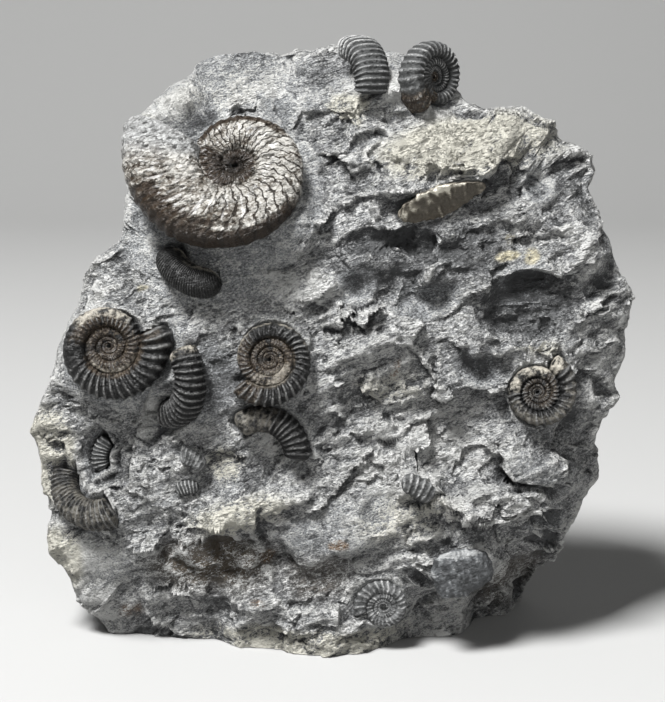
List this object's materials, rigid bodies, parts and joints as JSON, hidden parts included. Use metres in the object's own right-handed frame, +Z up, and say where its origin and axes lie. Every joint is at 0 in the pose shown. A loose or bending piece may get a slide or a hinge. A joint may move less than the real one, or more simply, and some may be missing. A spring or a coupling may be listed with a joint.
{
  "type": "fossil ammonite cluster",
  "caption": "Upright block of dark grey limestone with coiled ammonites and ribbed whorl pieces standing out of its cleaned face.",
  "frame": {"origin": "middle of the bounding box on the flat base the block stands on", "axes": "+Z up, the fossil face looks along -Y, +X to the right of somebody who looks at that face"},
  "size_m": [0.172, 0.0799, 0.1714],
  "materials": {
    "limestone": "broken and air-abraded dark grey limestone, matt, with paler flakes and dark hollows",
    "dark_calcite": "dark calcite shell, satin, lighter on the rib crests",
    "brown_calcite": "brown-black calcite with silvery frilled suture lines, glossy",
    "grey_shell_rock": "mid grey shell cast, fine grained, slightly rough",
    "beige_shell": "worn beige shell plate, matt to silky",
    "blue_grey_shell": "smooth blue-grey shell plate, silky"
  },
  "bodies": {
    "root": {"matrix": "limestone", "large_ammonite": "brown_calcite", "left_ammonite": "dark_calcite", "centre_ammonite": "dark_calcite", "top_ammonite": "grey_shell_rock", "right_ammonite": "dark_calcite", "flat_ammonite": "grey_shell_rock", "smooth_whorl": "dark_calcite", "upright_whorl": "dark_calcite", "curved_whorl": "dark_calcite", "low_left_whorl": "dark_calcite", "top_whorl": "grey_shell_rock", "pale_shell": "beige_shell", "grey_shell": "blue_grey_shell"}
  },
  "joints": []
}
